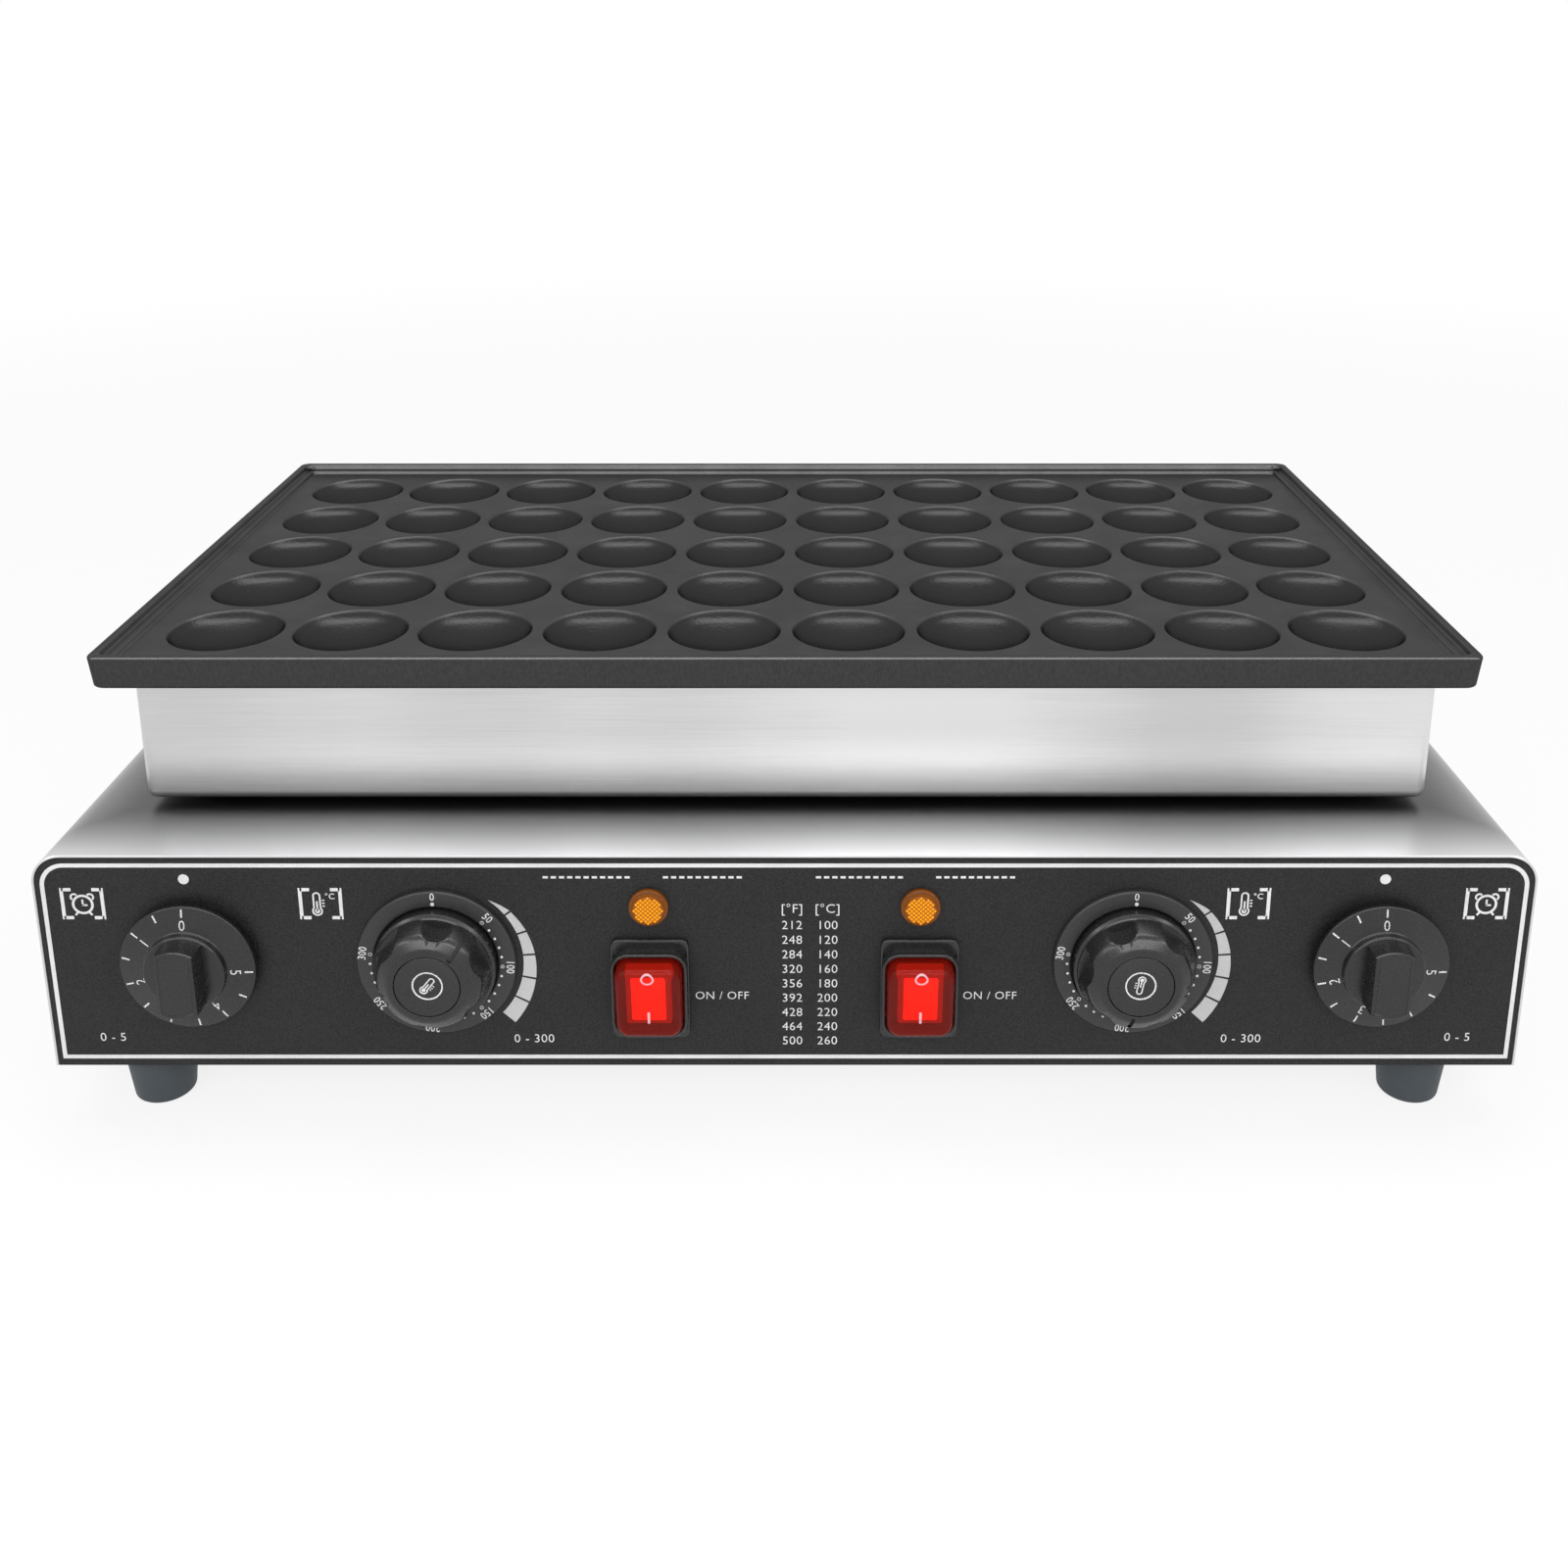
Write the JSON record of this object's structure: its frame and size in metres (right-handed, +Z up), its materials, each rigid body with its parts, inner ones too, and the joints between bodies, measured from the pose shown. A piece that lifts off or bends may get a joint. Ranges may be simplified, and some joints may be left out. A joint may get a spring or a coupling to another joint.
{
  "type": "mini pancake maker",
  "caption": "Countertop electric griddle with rows of round cups in a dark casting, over a brushed steel base with dials, switches and lamps on its front panel.",
  "frame": {"origin": "on the table, under the middle of the machine's outer box", "axes": "+X to the right along the width, +Y to the back, +Z up, seen from the control panel"},
  "size_m": [0.552, 0.362, 0.179],
  "materials": {
    "griddle_coating": "dark non-stick coating on a casting",
    "stainless_sheet": "brushed stainless sheet",
    "bright_steel": "bright plated steel",
    "panel_film": "matt black printed film",
    "foot_rubber": "moulded slate-coloured rubber",
    "red_lens": "clear red moulding",
    "amber_lens": "clear amber moulding",
    "dial_plastic": "satin black moulding",
    "frame_plastic": "black moulding",
    "heater_sheath": "oxidised heater sheath",
    "insulation": "ceramic fibre board",
    "capillary_copper": "drawn copper tube",
    "silicone": "silicone rubber",
    "moulded_body": "moulded thermoset"
  },
  "bodies": {
    "chassis": {"griddle_plate": "griddle_coating", "upper_housing": "stainless_sheet", "housing_spacers": "bright_steel", "hold_down_bolts": "bright_steel", "left_heater": "heater_sheath", "right_heater": "heater_sheath", "heater_clamps": "bright_steel", "clamp_screws": "bright_steel", "insulation_board": "insulation", "heat_reflector": "bright_steel", "left_bushing": "silicone", "right_bushing": "silicone", "left_bulb": "capillary_copper", "right_bulb": "capillary_copper", "bulb_saddles": "bright_steel", "base_shell": "stainless_sheet", "front_plate": "stainless_sheet", "control_film": "panel_film", "rear_plate": "stainless_sheet", "bottom_cover": "stainless_sheet", "cover_screws": "bright_steel", "front_left_foot": "foot_rubber", "front_right_foot": "foot_rubber", "rear_left_foot": "foot_rubber", "rear_right_foot": "foot_rubber", "foot_screws": "bright_steel", "foot_nuts": "bright_steel", "left_timer": "moulded_body", "right_timer": "moulded_body", "left_thermostat": "moulded_body", "right_thermostat": "moulded_body", "left_scale_ring": "dial_plastic", "right_scale_ring": "dial_plastic", "dial_screws": "bright_steel", "left_switch_frame": "frame_plastic", "right_switch_frame": "frame_plastic", "left_switch_body": "moulded_body", "right_switch_body": "moulded_body", "left_lamp": "amber_lens", "right_lamp": "amber_lens", "left_lamp_holder": "moulded_body", "right_lamp_holder": "moulded_body", "cord_gland": "frame_plastic", "gland_nut": "frame_plastic", "terminal_block": "moulded_body", "block_screws": "bright_steel", "left_wires": "silicone", "right_wires": "silicone"},
    "left_timer_dial": {"left_timer_knob": "dial_plastic", "left_timer_shaft": "bright_steel"},
    "right_timer_dial": {"right_timer_knob": "dial_plastic", "right_timer_shaft": "bright_steel"},
    "left_heat_dial": {"left_heat_knob": "dial_plastic", "left_knob_cap": "dial_plastic", "left_heat_shaft": "bright_steel"},
    "right_heat_dial": {"right_heat_knob": "dial_plastic", "right_knob_cap": "dial_plastic", "right_heat_shaft": "bright_steel"},
    "left_switch_rocker": {"left_rocker": "red_lens"},
    "right_switch_rocker": {"right_rocker": "red_lens"}
  },
  "joints": [
    {"name": "left_timer_turn", "type": "hinge", "parent": "chassis", "child": "left_timer_dial", "pos_m": [-0.22, -0.163, 0.07], "axis": [0, 1, 0], "range_deg": [0, 266]},
    {"name": "right_timer_turn", "type": "hinge", "parent": "chassis", "child": "right_timer_dial", "pos_m": [0.22, -0.163, 0.07], "axis": [0, 1, 0], "range_deg": [0, 266]},
    {"name": "left_heat_turn", "type": "hinge", "parent": "chassis", "child": "left_heat_dial", "pos_m": [-0.129, -0.163, 0.07], "axis": [0, 1, 0], "range_deg": [-39, 241]},
    {"name": "right_heat_turn", "type": "hinge", "parent": "chassis", "child": "right_heat_dial", "pos_m": [0.129, -0.163, 0.07], "axis": [0, 1, 0], "range_deg": [-190, 90]},
    {"name": "left_rocker_tip", "type": "hinge", "parent": "chassis", "child": "left_switch_rocker", "pos_m": [-0.05, -0.1674, 0.059], "axis": [-1, 0, 0], "range_deg": [0, 14]},
    {"name": "right_rocker_tip", "type": "hinge", "parent": "chassis", "child": "right_switch_rocker", "pos_m": [0.05, -0.1674, 0.059], "axis": [-1, 0, 0], "range_deg": [0, 14]}
  ]
}
